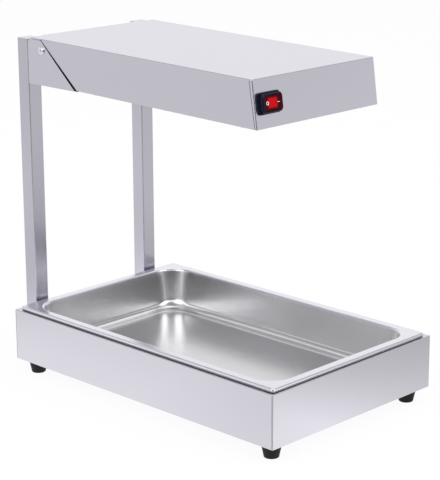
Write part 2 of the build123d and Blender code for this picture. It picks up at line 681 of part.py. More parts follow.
def heater_caps():
    """Ceramic end caps of the quartz tubes, set in the trough's end walls."""
    caps = []
    for x, y, out in heater_places():
        tip = y + out * CAP_OUT
        inside = y - out * CAP_IN
        cap = rod_y(x, sorted((inside, tip)), HEATER_Z, CAP_R)
        cap += rod_y(x, sorted((y, y + out * CAP_COLLAR_T)), HEATER_Z, CAP_COLLAR_R)
        cap -= rod_y(x, sorted((inside - out, inside + out * CAP_SOCKET)), HEATER_Z, TUBE_R + RUNNING)
        cap -= rod_y(x, sorted((inside, tip + out)), HEATER_Z, PIN_R + RUNNING)
        caps.append(HOOD_AT * cap)
    return group(caps)


def heater_tubes():
    """Milky quartz tubes between their caps."""
    inset = CAP_IN - CAP_SOCKET + RUNNING
    ends = (TROUGH_FRONT + inset, TROUGH_REAR - inset)
    tubes = []
    for side in SIDES:
        tube = rod_y(side * HEATER_X, ends, HEATER_Z, TUBE_R)
        tube -= rod_y(side * HEATER_X, (ends[0] - CUT, ends[1] + CUT), HEATER_Z, TUBE_R - TUBE_WALL)
        tubes.append(HOOD_AT * tube)
    return group(tubes)


def heater_filaments():
    """Plain core standing for the wound heating wire, hidden in each milky tube."""
    ends = (TROUGH_FRONT + CAP_IN, TROUGH_REAR - CAP_IN)
    return group(HOOD_AT * rod_y(side * HEATER_X, ends, HEATER_Z, FILAMENT_R) for side in SIDES)


def heater_pins():
    """Brass contact pins through the caps to the filaments."""
    pins = []
    for x, y, out in heater_places():
        limits = sorted((y - out * CAP_IN, y + out * (CAP_OUT + PIN_L)))
        pins.append(HOOD_AT * rod_y(x, limits, HEATER_Z, PIN_R))
    return group(pins)


def wire_guard():
    """Welded wire grille in the mouth of the trough, on four screw tabs."""
    front = TROUGH_FRONT + GUARD_INSET
    rear = TROUGH_REAR - GUARD_INSET
    z = TRAY_Z + GUARD_FRAME_R - GUARD_SINK
    path = RectangleRounded(2 * GUARD_X, rear - front, GUARD_CORNER_R).wire()
    path = Pos(0, (front + rear) / 2, z) * path
    section = Plane(origin=path @ 0, z_dir=path % 0) * Circle(GUARD_FRAME_R)
    guard = sweep(section, path=path)
    pitch = (rear - front) / (GUARD_WIRES + 1)
    wire_z = z + GUARD_FRAME_R + GUARD_WIRE_R - GUARD_WELD
    for number in range(1, GUARD_WIRES + 1):
        guard += rod_x((-GUARD_X, GUARD_X), front + number * pitch, wire_z, GUARD_WIRE_R)
    for side in SIDES:
        for y in GUARD_TAB_Y:
            limits = sorted((side * (GUARD_X - TAB_LAP), side * (tab_screw_x() + TAB_END)))
            tab = span(limits, (y - TAB_W / 2, y + TAB_W / 2), (TRAY_Z - TAB_T, TRAY_Z))
            through = (TRAY_Z - TAB_T - CUT, TRAY_Z + CUT)
            guard += tab - rod_z(side * tab_screw_x(), y, through, M4_R + RUNNING)
    return HOOD_AT * guard


def terminal_block():
    """Ceramic three-way block on the tray, with screw wells on top."""
    width, depth, height = BLOCK_SIZE
    z = TRAY_Z + TRAY_SHEET
    block = Pos(0, BLOCK_Y, z + height / 2) * Box(width, depth, height)
    block = fillet(block.edges().filter_by(Axis.Z), BLOCK_EDGE_R)
    well_z = (z + height - WELL_DEPTH, z + height + CUT)
    for column in (-1, 0, 1):
        for row in SIDES:
            x = column * WELL_PITCH[0]
            y = BLOCK_Y + row * WELL_PITCH[1] / 2
            block -= rod_z(x, y, well_z, WELL_R)
    return HOOD_AT * block


def earth_stud():
    """Earth stud with its nut, on the tray."""
    x, y = EARTH_AT
    z = TRAY_Z + TRAY_SHEET
    stud = rod_z(x, y, (z, z + STUD_H), M4_R)
    nut = Pos(x, y, z) * hex_ring(STUD_NUT_AF, M4_R + RUNNING, STUD_NUT_H)
    return group([HOOD_AT * stud, HOOD_AT * nut])


def lead(points, radius, bend):
    """Insulated wire along straight runs with rounded corners."""
    path = FilletPolyline(*points, radius=bend)
    section = Plane(origin=path @ 0, z_dir=path % 0) * Circle(radius)
    return HOOD_AT * sweep(section, path=path)


def wiring_leads():
    """Lead to the switch over the trough, links to the rear pins, and the front link."""
    block_top = TRAY_Z + TRAY_SHEET + BLOCK_SIZE[2] + LEAD_GAP
    block_x, switch_x = LEAD_X
    switch_y, switch_z = LEAD_END
    main = [
        (block_x, BLOCK_Y, block_top),
        (block_x, BLOCK_Y, LEAD_Z),
        (block_x, LEAD_SLANT_Y[0], LEAD_Z),
        (switch_x, LEAD_SLANT_Y[1], LEAD_Z),
        (switch_x, switch_y, LEAD_Z),
        (switch_x, switch_y, switch_z),
    ]
    pieces = [lead(main, LEAD_R, LEAD_BEND_R)]
    pin_end = CAP_OUT + PIN_L
    for side in SIDES:
        rear = [
            (side * LINK_X, LINK_Y, block_top),
            (side * LINK_X, LINK_Y, LINK_Z),
            (side * HEATER_X, LINK_Y, LINK_Z),
            (side * HEATER_X, LINK_Y, HEATER_Z),
            (side * HEATER_X, TROUGH_REAR + pin_end + LEAD_GAP, HEATER_Z),
        ]
        pieces.append(lead(rear, LINK_R, LINK_BEND_R))
    y = TROUGH_FRONT - pin_end - LEAD_GAP
    front = [
        (-HEATER_X, y, HEATER_Z),
        (-HEATER_X, y - LINK_LOOP, HEATER_Z),
        (HEATER_X, y - LINK_LOOP, HEATER_Z),
        (HEATER_X, y, HEATER_Z),
    ]
    pieces.append(lead(front, LINK_R, LINK_BEND_R))
    return group(pieces)


def switch_body():
    """Black housing: body through the panel, flange on it and a raised collar round the rocker."""
    wide, high, thick = SWITCH_FLANGE
    flange = extrude(RectangleRounded(wide, high, SWITCH_FLANGE_R), thick)
    flange = fillet(flange.edges().group_by(Axis.Z)[-1], SWITCH_FLANGE_EDGE_R)
    collar_w, collar_h, collar_up = SWITCH_COLLAR
    collar = extrude(RectangleRounded(collar_w, collar_h, SWITCH_COLLAR_R), collar_up)
    collar = fillet(collar.edges().group_by(Axis.Z)[-1], SWITCH_COLLAR_EDGE_R)
    body_w, body_h, body_d = SWITCH_BODY
    body = Pos(0, 0, -body_d / 2) * Box(body_w, body_h, body_d)
    mouth = extrude(RectangleRounded(*SWITCH_MOUTH, SWITCH_MOUTH_R), collar_up)
    mouth = Pos(0, 0, SWITCH_FLOOR) * mouth
    housing = body + flange + collar - mouth
    pin_end = SWITCH_MOUTH[1] / 2 + ROCKER_PIN_IN + ROCKER_SIDE_GAP / 2
    housing -= rod_y(0, (-pin_end, pin_end), ROCKER_AXIS_Z, ROCKER_PIN_R + RUNNING)
    for x in SPADE_X:
        housing -= spade(x)
    return HOOD_AT * switch_place() * housing


def spade(x):
    """One flat terminal, held in the back of the switch."""
    width, thick, length = SPADE
    back = -SWITCH_BODY[2]
    return span((x - thick / 2, x + thick / 2), (-width / 2, width / 2), (back - length, back + SPADE_IN))


def switch_spades():
    return group(HOOD_AT * switch_place() * spade(x) for x in SPADE_X)


def switch_rocker():
    """Red rocker with a dished top and two pivot pins, resting with its O end pressed in."""
    half_x = SWITCH_MOUTH[0] / 2 - ROCKER_END_GAP
    half_y = SWITCH_MOUTH[1] / 2 - ROCKER_SIDE_GAP
    top = ROCKER_TOP - ROCKER_AXIS_Z
    low = ROCKER_BOTTOM - ROCKER_AXIS_Z
    lean = half_x - ROCKER_LEAN
    edge = Polyline((half_x, top), (lean, low), (-lean, low), (-half_x, top))
    dish = ThreePointArc((-half_x, top), (0, top - ROCKER_DIP), (half_x, top))
    rocker = extrude(Plane.XZ.offset(-half_y) * make_face(edge.edges() + dish.edges()), 2 * half_y)
    corners = [e for e in rocker.edges() if abs(e.center().X) > lean / 2 and abs(e.center().Y) > half_y / 2]
    rocker = fillet(corners, ROCKER_CORNER_R)
    pin_end = SWITCH_MOUTH[1] / 2 + ROCKER_PIN_IN
    rocker += rod_y(0, (-pin_end, pin_end), 0, ROCKER_PIN_R)
    return HOOD_AT * switch_place() * Pos(0, 0, ROCKER_AXIS_Z) * Rot(0, -ROCKER_TILT, 0) * rocker


def nodes():
    """Every piece by its node name."""
    pieces = {
        "base_shell": base_shell(),
        "base_floor": base_floor(),
        "rubber_feet": rubber_feet(),
        "foot_screws": foot_screws(),
        "foot_nuts": foot_nuts(),
        "left_post": post(-1),
        "right_post": post(1),
        "post_caps": post_caps(),
        "post_plugs": post_plugs(),
        "post_nut_strips": post_nut_strips(),
        "post_screws": wall_screws(low_screw_places(), BASE_SHEET),
        "hinge_bracket": hinge_bracket(),
        "bracket_screws": wall_screws(high_screw_places(), BRACKET_SHEET),
        "cable_gland": cable_gland(),
        "gland_nut": gland_nut(),
        "food_pan": food_pan(),
        "hood_shell": hood_shell(),
        "hinge_lugs": hinge_lugs(),
        "reflector_tray": reflector_tray(),
        "tray_screws": tray_screws(),
        "heater_tubes": heater_tubes(),
        "heater_caps": heater_caps(),
        "heater_filaments": heater_filaments(),
        "heater_pins": heater_pins(),
        "wire_guard": wire_guard(),
        "guard_screws": guard_screws(),
        "terminal_block": terminal_block(),
        "earth_stud": earth_stud(),
        "wiring_leads": wiring_leads(),
        "switch_body": switch_body(),
        "switch_spades": switch_spades(),
        "switch_rocker": switch_rocker(),
    }
    pieces.update(pivot_parts())
    return pieces


os.makedirs("parts", exist_ok=True)
for name, piece in nodes().items():
    export_step(piece, f"parts/{name}.step")
print("pivot axis at Y", round(PIVOT_Y, 2), "Z", round(PIVOT_Z, 2))
rocker_axis = HOOD_AT * switch_place() * Pos(0, 0, ROCKER_AXIS_Z)
print("rocker axis at", rocker_axis.position, "along", Plane(rocker_axis).y_dir)
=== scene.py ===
import math

import bmesh
import bpy
from mathutils import Matrix, Vector


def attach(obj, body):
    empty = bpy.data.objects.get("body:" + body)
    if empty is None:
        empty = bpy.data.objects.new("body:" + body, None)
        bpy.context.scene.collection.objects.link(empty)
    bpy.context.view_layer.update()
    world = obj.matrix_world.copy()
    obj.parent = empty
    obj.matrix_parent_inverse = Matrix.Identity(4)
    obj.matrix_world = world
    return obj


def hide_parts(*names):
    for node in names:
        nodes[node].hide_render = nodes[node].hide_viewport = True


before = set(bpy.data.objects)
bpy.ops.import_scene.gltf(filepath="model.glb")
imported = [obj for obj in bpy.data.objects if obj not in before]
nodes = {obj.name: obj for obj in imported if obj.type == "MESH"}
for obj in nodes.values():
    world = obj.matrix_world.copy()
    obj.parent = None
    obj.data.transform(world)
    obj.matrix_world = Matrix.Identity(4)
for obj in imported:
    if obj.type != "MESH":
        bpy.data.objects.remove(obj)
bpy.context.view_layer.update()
mm = 0.001
reliefDepth = 0.1 * mm  # full height of a bump map, which each finish takes a share of


def linear(hexColour):  # sRGB hex to the linear values that shaders take
    parts = [int(hexColour[i:i + 2], 16) / 255 for i in (1, 3, 5)]
    return [c / 12.92 if c <= 0.04045 else ((c + 0.055) / 1.055) ** 2.4 for c in parts] + [1.0]


def addNode(tree, kind, values=None, links=None, **settings):
    node = tree.nodes.new(kind)
    for name, value in settings.items():
        setattr(node, name, value)
    for socket, value in (values or {}).items():
        node.inputs[socket].default_value = value
    for socket, source in (links or {}).items():
        tree.links.new(source, node.inputs[socket])
    return node


def newMaterial(name):
    material = bpy.data.materials.new(name)
    material.use_nodes = True
    material.node_tree.nodes.clear()
    return material, material.node_tree


def paint(material, *names):
    for name in names:
        mesh = nodes[name].data
        mesh.materials.clear()
        mesh.materials.append(material)


def addPiece(name, mesh, material):
    data = bpy.data.meshes.new(name)
    mesh.to_mesh(data)
    mesh.free()
    data.materials.append(material)
    piece = bpy.data.objects.new(name, data)
    bpy.context.scene.collection.objects.link(piece)
    return piece


# stainless sheet, brushed with a belt: long fine streaks, a soft blurred mirror of the room
sheetSteel = {
    "colour": "#cdccd6",
    "darkStreak": "#cac9d3",
    "roughness": (0.245, 0.278),
    "streak": (1.1 * mm, 70 * mm),  # real grit lines are near 0.1 mm, drawn wider so that they show
    "streakDetail": 3.0,
    "streakBreak": 0.6,
    "smudge": 90 * mm,
    "smudgeDetail": 2.0,
    "smudgeShare": 0.4,  # of the roughness, the rest follows the streaks
    "smudgeReach": (0.3, 0.7),
    "endFacing": 0.7,  # a face that looks along Y by more than this is an end
    "bump": 0.006,
}
baseSteel = dict(sheetSteel, colour="#cecdd5", darkStreak="#cbcad2")  # another coil, a trace less blue
# drawn box tube: the same streaks run up it, its skin is a shade darker
tubeSteel = dict(sheetSteel, colour="#c4c3cd", darkStreak="#bebdc7", roughness=(0.18, 0.24))


def brushedSteel(name, alongSides, alongEnds, look):
    material, tree = newMaterial(name)
    coords = addNode(tree, "ShaderNodeTexCoord")
    width, length = look["streak"]

    def streaks(axis):
        scale = [1 / width] * 3
        scale["XYZ".index(axis)] = 1 / length
        drawn = addNode(tree, "ShaderNodeMapping", {"Scale": scale}, {"Vector": coords.outputs["Object"]})
        return addNode(tree, "ShaderNodeTexNoise",
                       {"Scale": 1.0, "Detail": look["streakDetail"], "Roughness": look["streakBreak"]},
                       {"Vector": drawn.outputs[0]})

    # faces that look along Y are brushed one way, all the others the other way
    normal = addNode(tree, "ShaderNodeSeparateXYZ", None, {0: coords.outputs["Normal"]})
    facing = addNode(tree, "ShaderNodeMath", None, {0: normal.outputs["Y"]}, operation="ABSOLUTE")
    isEnd = addNode(tree, "ShaderNodeMath", {1: look["endFacing"]}, {0: facing.outputs[0]},
                    operation="GREATER_THAN")
    grain = addNode(tree, "ShaderNodeMix", None,
                    {"Factor": isEnd.outputs[0], "A": streaks(alongSides).outputs["Fac"],
                     "B": streaks(alongEnds).outputs["Fac"]})
    smudge = addNode(tree, "ShaderNodeTexNoise",
                     {"Scale": 1 / look["smudge"], "Detail": look["smudgeDetail"]},
                     {"Vector": coords.outputs["Object"]})
    blend = addNode(tree, "ShaderNodeMix", {"Factor": look["smudgeShare"]},
                    {"A": grain.outputs["Result"], "B": smudge.outputs["Fac"]})
    colour = addNode(tree, "ShaderNodeMix", {"A": linear(look["darkStreak"]), "B": linear(look["colour"])},
                     {"Factor": grain.outputs["Result"]}, data_type="RGBA")
    rough = addNode(tree, "ShaderNodeMapRange",
                    {"From Min": look["smudgeReach"][0], "From Max": look["smudgeReach"][1],
                     "To Min": look["roughness"][0], "To Max": look["roughness"][1]},
                    {"Value": blend.outputs["Result"]})
    bump = addNode(tree, "ShaderNodeBump", {"Strength": look["bump"], "Distance": reliefDepth},
                   {"Height": grain.outputs["Result"]})
    surface = addNode(tree, "ShaderNodeBsdfPrincipled", {"Metallic": 1.0},
                      {"Base Color": colour.outputs["Result"], "Roughness": rough.outputs[0],
                       "Normal": bump.outputs[0]})
    addNode(tree, "ShaderNodeOutputMaterial", None, {"Surface": surface.outputs[0]})
    return material


paint(brushedSteel("brushedStainlessSheet", "Y", "X", sheetSteel), "hood_shell", "hinge_bracket")
paint(brushedSteel("brushedStainlessBase", "Y", "X", baseSteel), "base_shell")
paint(brushedSteel("brushedStainlessTube", "Z", "Z", tubeSteel), "left_post", "right_post", "post_caps")

# finishes without a direction: two tones and two roughnesses that a noise of the grain's size mixes
metal = {"detail": 4.0, "skin": {"Metallic": 1.0}}
nonMetal = {"detail": 5.0, "skin": {"IOR": 1.5, "Specular IOR Level": 0.5}}
finishes = {
    # deep-drawn, bright annealed and lightly polished: a clearer mirror with faint drawing marks
    "drawnStainless": dict(
        metal, tones=("#dcdcdd", "#d5d5d7"), roughness=(0.215, 0.255), grain=6 * mm, bump=0.012,
        above={"paintedSheenTone": "#dfdee6", "from": (102 * mm, 106 * mm)},  # painted sheen: the rim is painted lighter and bluer than the walls
        on=("food_pan",)),
    # polished screw heads mirror the room almost cleanly
    "polishedSteel": dict(
        metal, tones=("#e8e8ec", "#e0e0e4"), roughness=(0.06, 0.10), grain=2 * mm, bump=0.01,
        on=("pivot_screws",)),
    # bright zinc plating, slightly cloudy
    "zincPlatedSteel": dict(
        metal, tones=("#c4c6c8", "#b2b5b8"), roughness=(0.30, 0.42), grain=3 * mm, bump=0.04,
        on=("foot_screws", "foot_nuts", "post_nut_strips", "post_screws", "bracket_screws", "pivot_washers",
            "pivot_nuts", "tray_screws", "guard_screws")),
    # hot-dipped zinc: dull grey in broad cloudy patches
    "galvanisedSheet": dict(
        metal, tones=("#bcbec0", "#a2a5a8"), roughness=(0.35, 0.5), grain=14 * mm, bump=0.05,
        on=("base_floor",)),
    # rolled bright: a light, slightly hazy mirror
    "brightReflectorAluminium": dict(
        metal, tones=("#e4e4e6", "#dadadd"), roughness=(0.16, 0.24), grain=20 * mm, bump=0.02,
        on=("reflector_tray",)),
    # nickel gives the wire a warm, clear shine
    "nickelPlatedWire": dict(
        metal, tones=("#cfcdc8", "#bdbab4"), roughness=(0.18, 0.28), grain=2 * mm, bump=0.02,
        on=("wire_guard",)),
    # yellow, with the satin of a turning tool
    "turnedBrass": dict(
        metal, tones=("#d8b45e", "#c49c44"), roughness=(0.22, 0.32), grain=1 * mm, bump=0.03,
        on=("heater_pins", "earth_stud", "switch_spades")),
    # brown-grey scale from the heat, hardly any shine
    "oxidisedHeatingWire": dict(
        metal, tones=("#6b6460", "#4e4a48"), roughness=(0.45, 0.6), grain=1 * mm, bump=0.05,
        on=("heater_filaments",)),
    # black phosphate coat, matt and slightly oily; on the hinge lugs behind the hood's side seam its black is
    # also painted shade, so that the seam reads as a dark gap
    "phosphatedSteelSeamShade": dict(
        nonMetal, tones=("#121217", "#0a0a0e"), roughness=(0.5, 0.65), grain=1.5 * mm, bump=0.05,
        skin={"IOR": 1.5, "Specular IOR Level": 0.2}, on=("hinge_lugs", "pivot_spacers")),
    # soft black with a faint grey bloom
    "mouldedRubber": dict(
        nonMetal, tones=("#17161b", "#0f0e12"), roughness=(0.55, 0.68), grain=1.2 * mm, bump=0.08,
        skin={"IOR": 1.52, "Specular IOR Level": 0.22}, on=("rubber_feet",)),
    # black with a low even shine
    "mouldedNylon": dict(
        nonMetal, tones=("#1e1e24", "#141418"), roughness=(0.32, 0.42), grain=1 * mm, bump=0.05,
        on=("cable_gland", "gland_nut", "post_plugs")),
    # fine bubbles make the tube white, and its skin stays glassy
    "milkyQuartz": dict(
        nonMetal, tones=("#f1efe9", "#e6e3db"), roughness=(0.18, 0.28), grain=3 * mm, bump=0.01,
        skin={"IOR": 1.46, "Specular IOR Level": 0.5}, on=("heater_tubes",)),
    # unglazed ceramic, cream and dry
    "firedSteatite": dict(
        nonMetal, tones=("#e4dfd2", "#d6cfbf"), roughness=(0.55, 0.7), grain=1 * mm, bump=0.04,
        on=("heater_caps", "terminal_block")),
    # braided sleeve, straw-white with a rough skin
    "glassFibreSleeve": dict(
        nonMetal, tones=("#d9d3c4", "#bdb6a4"), roughness=(0.7, 0.85), grain=0.8 * mm, bump=0.3,
        on=("wiring_leads",)),
    # navy-black nylon with a fine spark-eroded skin: dull, with a bluish shine along its edges
    "sparkErodedNylon": dict(
        nonMetal, tones=("#0d112a", "#080a1a"), roughness=(0.24, 0.32), grain=0.6 * mm, bump=0.06,
        skin={"IOR": 1.53, "Specular IOR Level": 0.14}, on=("switch_body",)),
    # thin matt film of white, for the marks on the rocker
    "padPrintedInk": dict(
        nonMetal, tones=("#f2f2f0", "#e6e6e2"), roughness=(0.45, 0.6), grain=0.5 * mm, bump=0.02, on=()),
}


def evenFinish(name, look):
    material, tree = newMaterial(name)
    coords = addNode(tree, "ShaderNodeTexCoord")
    noise = addNode(tree, "ShaderNodeTexNoise", {"Scale": 1 / look["grain"], "Detail": look["detail"]},
                    {"Vector": coords.outputs["Object"]})
    light, dark = look["tones"]
    shade = addNode(tree, "ShaderNodeMix", {"A": linear(dark), "B": linear(light)},
                    {"Factor": noise.outputs["Fac"]}, data_type="RGBA")
    if "above" in look:  # painted sheen: a lighter, bluer tone above a height
        low, high = look["above"]["from"]
        axes = addNode(tree, "ShaderNodeSeparateXYZ", None, {0: coords.outputs["Object"]})
        rise = addNode(tree, "ShaderNodeMapRange", {"From Min": low, "From Max": high},
                       {"Value": axes.outputs["Z"]})
        shade = addNode(tree, "ShaderNodeMix", {"B": linear(look["above"]["paintedSheenTone"])},
                        {"Factor": rise.outputs[0], "A": shade.outputs["Result"]}, data_type="RGBA")
    smooth, dull = look["roughness"]
    rough = addNode(tree, "ShaderNodeMapRange", {"To Min": smooth, "To Max": dull},
                    {"Value": noise.outputs["Fac"]})
    relief = addNode(tree, "ShaderNodeBump", {"Strength": look["bump"], "Distance": reliefDepth},
                     {"Height": noise.outputs["Fac"]})
    surface = addNode(tree, "ShaderNodeBsdfPrincipled", look["skin"],
                      {"Base Color": shade.outputs["Result"], "Roughness": rough.outputs[0],
                       "Normal": relief.outputs[0]})
    addNode(tree, "ShaderNodeOutputMaterial", None, {"Surface": surface.outputs[0]})
    return material


evenMaterials = {}
for name, look in finishes.items():
    evenMaterials[name] = evenFinish(name, look)
    paint(evenMaterials[name], *look["on"])


rocker = {
    "middle": (-100.3 * mm, -214.077 * mm, 481.445 * mm),  # on the rocker's axis
    "up": (0.0, 0.138777, 0.990324),  # along the axis
    "out": (0.0, -0.990324, 0.138777),
    "tip": -7.0,  # degrees that the rocker is tipped at rest, the O end pressed in
    "window": (9.6 * mm, 8.6 * mm),  # half size of the painted glow over the lamp, where the red is painted brighter
    "glowAt": 0.3 * mm,  # it sits a little towards the I
    "edge": 3.6 * mm,  # over which the painted glow fades into the painted shade
    # the painted glow's red, and the painted shade's red around it
    "paintedGlowRed": "#b80812",
    "paintedShadeRed": "#38000c",
    "skin": {"IOR": 1.58, "Specular IOR Level": 0.06},
    "roughness": (0.16, 0.26),
    "flow": 4 * mm,  # size of the flow marks in the moulding
    "flowDetail": 2.0,
    "markAt": (-8.9 * mm, 10.4 * mm),  # O and I, along the rocker
    "ring": (2.5 * mm, 1.5 * mm),  # outer and inner radius of the O
    "ringSteps": 40,
    "bar": (3.8 * mm, 0.6 * mm),  # length and width of the I
    "barCuts": 6,
    "markRise": 0.06 * mm,
    "weld": 0.001 * mm,
    "dishR": 73.8 * mm,  # of the hollow face, and its lowest point above the axis
    "dishLow": 1.7 * mm,
}


def rockerFrame():  # local X along the rocker, Y up along its axis, Z out of the dished face
    up = Vector(rocker["up"])
    out = Vector(rocker["out"])
    turn = Matrix((Vector((1, 0, 0)), up, out)).transposed().to_4x4()
    tip = Matrix.Rotation(math.radians(rocker["tip"]), 4, "Y")
    return Matrix.Translation(rocker["middle"]) @ turn @ tip


# translucent red polycarbonate with painted light: a painted glow, bright red over the lamp, and painted
# shade, wine-dark, where the body stands behind it
def rockerRed():
    material, tree = newMaterial("redPolycarbonate")
    coords = addNode(tree, "ShaderNodeTexCoord")
    inside = rockerFrame().inverted()
    local = addNode(tree, "ShaderNodeMapping",
                    {"Location": inside.to_translation() - Vector((rocker["glowAt"], 0, 0)),
                     "Rotation": inside.to_euler()},
                    {"Vector": coords.outputs["Object"]})
    axes = addNode(tree, "ShaderNodeSeparateXYZ", None, {0: local.outputs[0]})
    # painted glow: a soft box in the rocker's face where the red is painted bright, as if lit from behind
    shares = []
    for axis, half in zip("XY", rocker["window"]):
        size = addNode(tree, "ShaderNodeMath", None, {0: axes.outputs[axis]}, operation="ABSOLUTE")
        share = addNode(tree, "ShaderNodeMapRange",
                        {"From Min": half - rocker["edge"], "From Max": half, "To Min": 1.0, "To Max": 0.0},
                        {"Value": size.outputs[0]}, interpolation_type="SMOOTHSTEP")
        shares.append(share.outputs[0])
    window = addNode(tree, "ShaderNodeMath", None, {0: shares[0], 1: shares[1]}, operation="MULTIPLY")
    colour = addNode(tree, "ShaderNodeMix", {"A": linear(rocker["paintedShadeRed"]), "B": linear(rocker["paintedGlowRed"])},
                     {"Factor": window.outputs[0]}, data_type="RGBA")
    flow = addNode(tree, "ShaderNodeTexNoise", {"Scale": 1 / rocker["flow"], "Detail": rocker["flowDetail"]},
                   {"Vector": coords.outputs["Object"]})
    smooth, dull = rocker["roughness"]
    rough = addNode(tree, "ShaderNodeMapRange", {"To Min": smooth, "To Max": dull},
                    {"Value": flow.outputs["Fac"]})
    surface = addNode(tree, "ShaderNodeBsdfPrincipled", rocker["skin"],
                      {"Base Color": colour.outputs["Result"], "Roughness": rough.outputs[0]})
    addNode(tree, "ShaderNodeOutputMaterial", None, {"Surface": surface.outputs[0]})
    return material


paint(rockerRed(), "switch_rocker")
print("materials on", len(nodes), "nodes")


def makeMark(name, mesh, place):  # prints lie on the dished face, a few hundredths proud
    bmesh.ops.translate(mesh, verts=mesh.verts, vec=(place, 0, 0))
    radius = rocker["dishR"]
    for vert in mesh.verts:
        dish = rocker["dishLow"] + radius - math.sqrt(radius ** 2 - vert.co.x ** 2)
        vert.co.z += dish
    bmesh.ops.recalc_face_normals(mesh, faces=mesh.faces)
    bmesh.ops.transform(mesh, matrix=rockerFrame(), verts=mesh.verts)
    mark = addPiece(name, mesh, evenMaterials["padPrintedInk"])
    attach(mark, "rocker")


def makeMarks():
    outer, inner = rocker["ring"]
    rise = rocker["markRise"]
    ring = bmesh.new()
    start = [ring.verts.new((radius, 0, height)) for radius, height in
             ((outer, 0), (outer, rise), (inner, rise), (inner, 0))]
    edges = [ring.edges.new((start[i], start[(i + 1) % 4])) for i in range(4)]
    bmesh.ops.spin(ring, geom=start + edges, cent=(0, 0, 0), axis=(0, 0, 1), angle=math.tau,
                   steps=rocker["ringSteps"], use_merge=True)
    bmesh.ops.remove_doubles(ring, verts=ring.verts, dist=rocker["weld"])
    makeMark("offMark", ring, rocker["markAt"][0])
    bar = bmesh.new()
    bmesh.ops.create_cube(bar, size=1.0)
    length, thick = rocker["bar"]
    bmesh.ops.scale(bar, verts=bar.verts, vec=(length, thick, rise))
    bmesh.ops.translate(bar, verts=bar.verts, vec=(0, 0, rise / 2))
    lengthways = [edge for edge in bar.edges if abs(edge.verts[0].co.x - edge.verts[1].co.x) > length / 2]
    bmesh.ops.subdivide_edges(bar, edges=lengthways, cuts=rocker["barCuts"], use_grid_fill=True)
    makeMark("onMark", bar, rocker["markAt"][1])


makeMarks()
print("switch marks placed")


pan = {
    "middle": (-4.0 * mm, -16.2 * mm),
    "top": 109.3 * mm,
    "rim": (165.0 * mm, 266.0 * mm, 4.5 * mm),  # half width, half length, corner radius
    "rimEdge": 2.0 * mm,
    "rimStep": 15,  # degrees between the rings round the rim's edge
    "skirt": 103.5 * mm,
    "mouth": (151.0 * mm, 252.0 * mm, 40.0 * mm),
    "lip": (2.5 * mm, 4.5 * mm),  # roll into the walls: along the sides, in the corners
    "lean": 8.8,  # degrees that the walls lean out at the corners
    "depth": 64.0 * mm,
    "floorRound": (11.0 * mm, 18.0 * mm),  # along the sides, in the corners
    "turns": (0, 12, 24, 36, 48, 60, 72, 83),  # degrees round the lip and the floor's edge with a ring
    "panel": (128.6 * mm, 229.6 * mm, 34.0 * mm),
    "panelDown": 1.5 * mm,
    "panelRound": 1.6 * mm,
    "panelSteps": 4,  # rings round each of the panel's two bends
    "sheet": 1.0 * mm,
    "bow": 3.4 * mm,  # the long walls spring out at their foot, half way along
    "hold": 0.4 * mm,  # a ring this close to each bend keeps the flats flat in the mirror
    "cornerSteps": 14,
    "sideSteps": 12,
}


def panProfile():  # from the lip to the floor: inset along the sides and in the corners, and depth
    lean = math.radians(pan["lean"])
    slope = math.tan(lean)
    reach = math.tan((math.pi / 2 - lean) / 2)
    sideLip, cornerLip = pan["lip"]
    sideRound, cornerRound = pan["floorRound"]
    depth = pan["depth"]
    foot = depth * slope

    def lipInset(radius, down):
        if down >= radius * (1 - math.sin(lean)):
            return down * slope
        return radius * (math.sqrt(1 - (1 - down / radius) ** 2) - reach)

    def floorInset(radius, down):
        if down <= depth - radius * (1 - math.sin(lean)):
            return down * slope
        rise = (down - depth + radius) / radius
        return foot + radius * (reach - math.sqrt(max(0.0, 1 - rise ** 2)))

    downs = set()
    for turn in pan["turns"]:
        fall = 1 - math.cos(math.radians(turn))
        downs |= {radius * fall for radius in pan["lip"]}
        downs |= {depth - radius * fall for radius in pan["floorRound"]}
    steps = []
    for down in sorted(downs):
        if down < depth / 2:
            steps.append((lipInset(sideLip, down), lipInset(cornerLip, down), down))
        else:
            steps.append((floorInset(sideRound, down), floorInset(cornerRound, down), down))
    return steps


